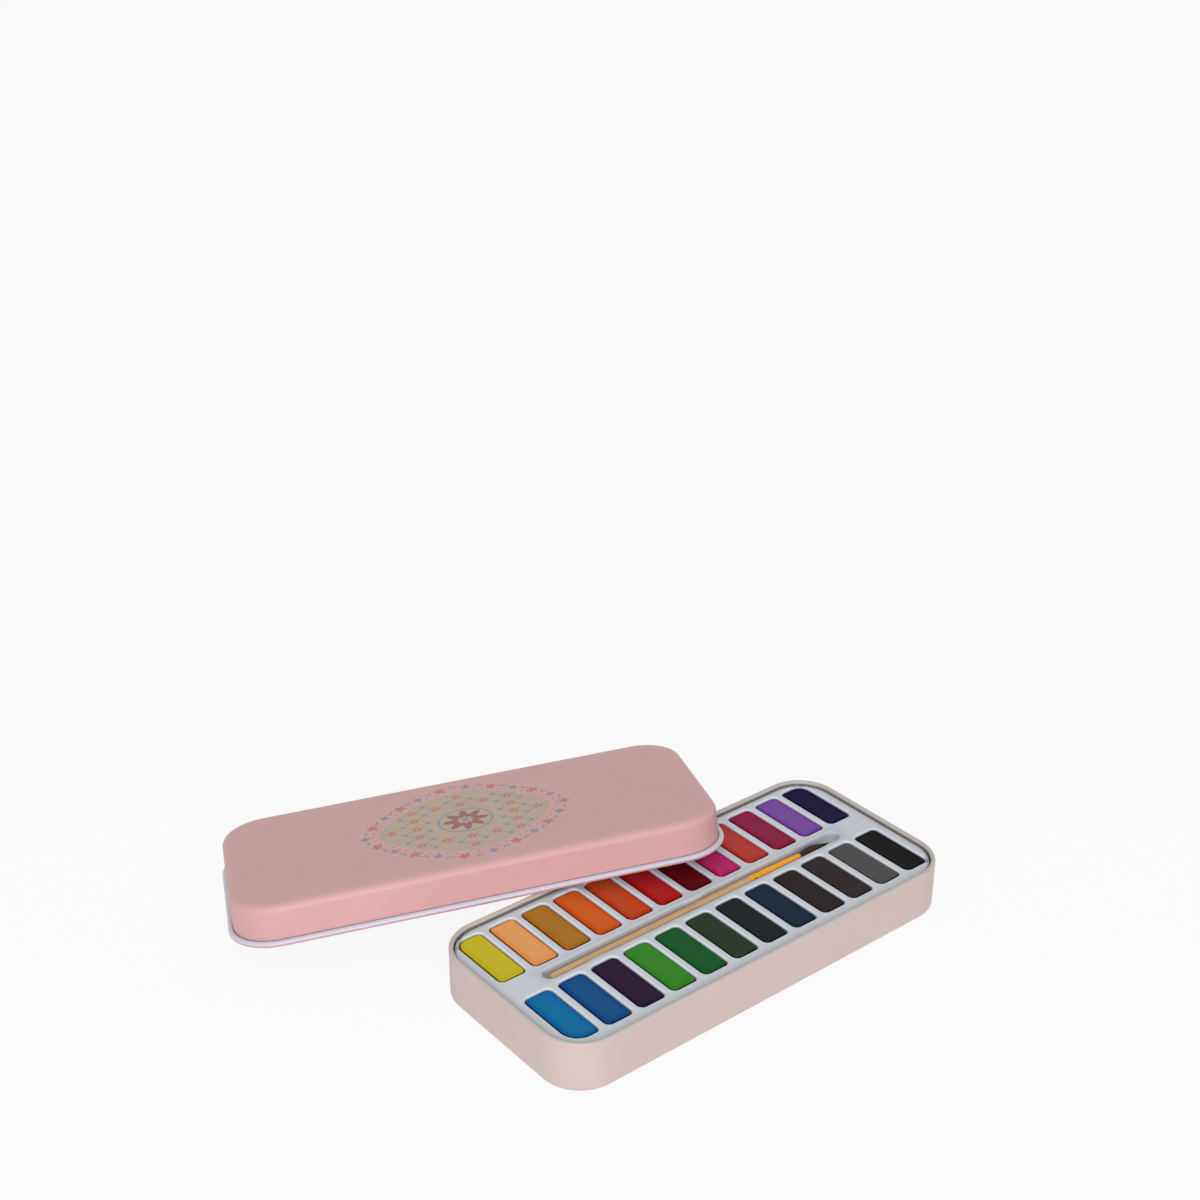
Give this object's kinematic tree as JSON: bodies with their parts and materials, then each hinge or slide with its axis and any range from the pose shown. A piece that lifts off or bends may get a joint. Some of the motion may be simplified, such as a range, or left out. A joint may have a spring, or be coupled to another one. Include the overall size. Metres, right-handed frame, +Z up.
{
  "type": "watercolour paint tin",
  "caption": "Open enamelled tin with rows of paint cakes in a moulded insert, a brush in its centre trough and a lift-off lid leaning on its rim.",
  "frame": {"origin": "middle of the tin's flat underside, on the table", "axes": "+X along the tin's long side, +Y to its back where the lid leans, +Z up"},
  "size_m": [0.2571, 0.2182, 0.044],
  "materials": {
    "tin_enamel": "satin",
    "lid_enamel": "satin",
    "insert_plastic": "semi-gloss",
    "handle_wood": "satin",
    "ferrule_metal": "polished",
    "bristle_hair": "matte",
    "paint_lemon_yellow": "matte",
    "paint_peach": "matte",
    "paint_ochre": "matte",
    "paint_orange": "matte",
    "paint_burnt_orange": "matte",
    "paint_red": "matte",
    "paint_dark_red": "matte",
    "paint_magenta": "matte",
    "paint_coral": "matte",
    "paint_crimson": "matte",
    "paint_violet": "matte",
    "paint_indigo": "matte",
    "paint_cerulean": "matte",
    "paint_cobalt": "matte",
    "paint_aubergine": "matte",
    "paint_leaf_green": "matte",
    "paint_forest_green": "matte",
    "paint_olive": "matte",
    "paint_black_green": "matte",
    "paint_ink_blue": "matte",
    "paint_umber": "matte",
    "paint_sepia": "matte",
    "paint_slate_grey": "matte",
    "paint_black": "matte"
  },
  "bodies": {
    "tin": {"tin_base": "tin_enamel", "insert_tray": "insert_plastic", "cake_lemon_yellow": "paint_lemon_yellow", "cake_peach": "paint_peach", "cake_ochre": "paint_ochre", "cake_orange": "paint_orange", "cake_burnt_orange": "paint_burnt_orange", "cake_red": "paint_red", "cake_dark_red": "paint_dark_red", "cake_magenta": "paint_magenta", "cake_coral": "paint_coral", "cake_crimson": "paint_crimson", "cake_violet": "paint_violet", "cake_indigo": "paint_indigo", "cake_cerulean": "paint_cerulean", "cake_cobalt": "paint_cobalt", "cake_aubergine": "paint_aubergine", "cake_leaf_green": "paint_leaf_green", "cake_forest_green": "paint_forest_green", "cake_olive": "paint_olive", "cake_black_green": "paint_black_green", "cake_ink_blue": "paint_ink_blue", "cake_umber": "paint_umber", "cake_sepia": "paint_sepia", "cake_slate_grey": "paint_slate_grey", "cake_black": "paint_black"},
    "lid": {"lid_shell": "lid_enamel"},
    "brush": {"brush_handle": "handle_wood", "brush_ferrule": "ferrule_metal", "brush_bristles": "bristle_hair"}
  },
  "joints": [
    {"name": "lid_lift", "type": "slide", "parent": "tin", "child": "lid", "axis": [0, 0, 1], "range_m": [0, 0.06]},
    {"name": "brush_lift", "type": "slide", "parent": "tin", "child": "brush", "axis": [0, 0, 1], "range_m": [0, 0.04]}
  ]
}
